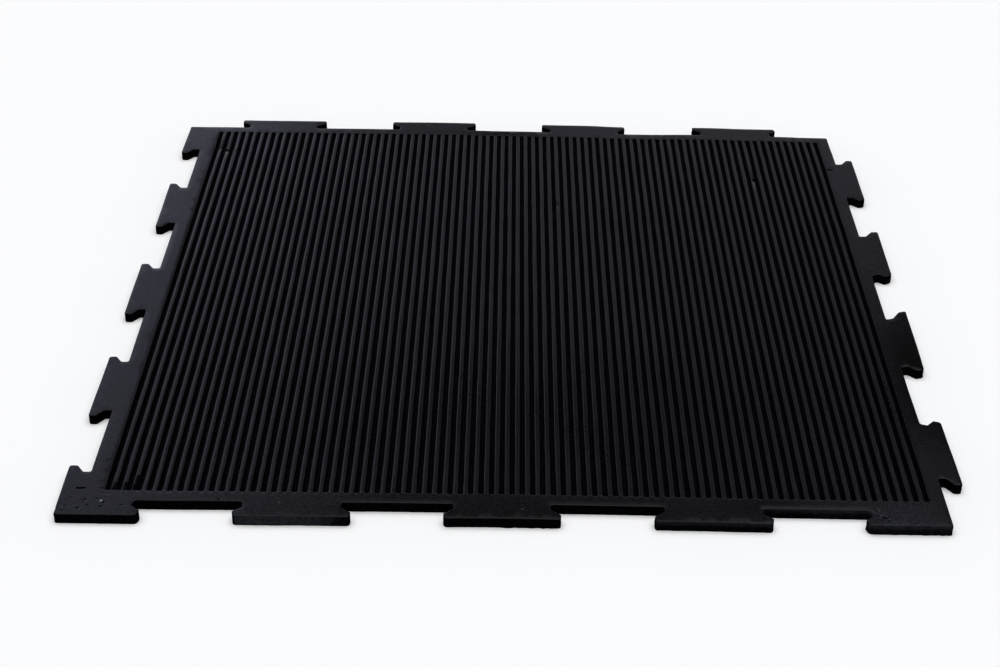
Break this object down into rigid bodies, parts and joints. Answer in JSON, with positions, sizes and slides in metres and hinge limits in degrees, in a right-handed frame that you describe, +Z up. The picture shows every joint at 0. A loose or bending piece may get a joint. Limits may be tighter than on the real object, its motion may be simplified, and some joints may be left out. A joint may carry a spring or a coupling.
{
  "type": "interlocking gym floor tile",
  "caption": "Square black rubber floor tile with a ribbed top and a plain border, dovetail tabs on two sides and matching sockets on the other two.",
  "frame": {"origin": "under the middle of the tile's bounding box, on the plane it lies on", "axes": "+Z up out of the ribbed top, +Y along the ribs towards the far side, which has tabs, and +X towards the right side, which has tabs"},
  "size_m": [1.026, 1.026, 0.0125],
  "materials": {
    "black_rubber": "matte moulded"
  },
  "bodies": {
    "root": {"ribbed_rubber_tile": "black_rubber"}
  },
  "joints": []
}
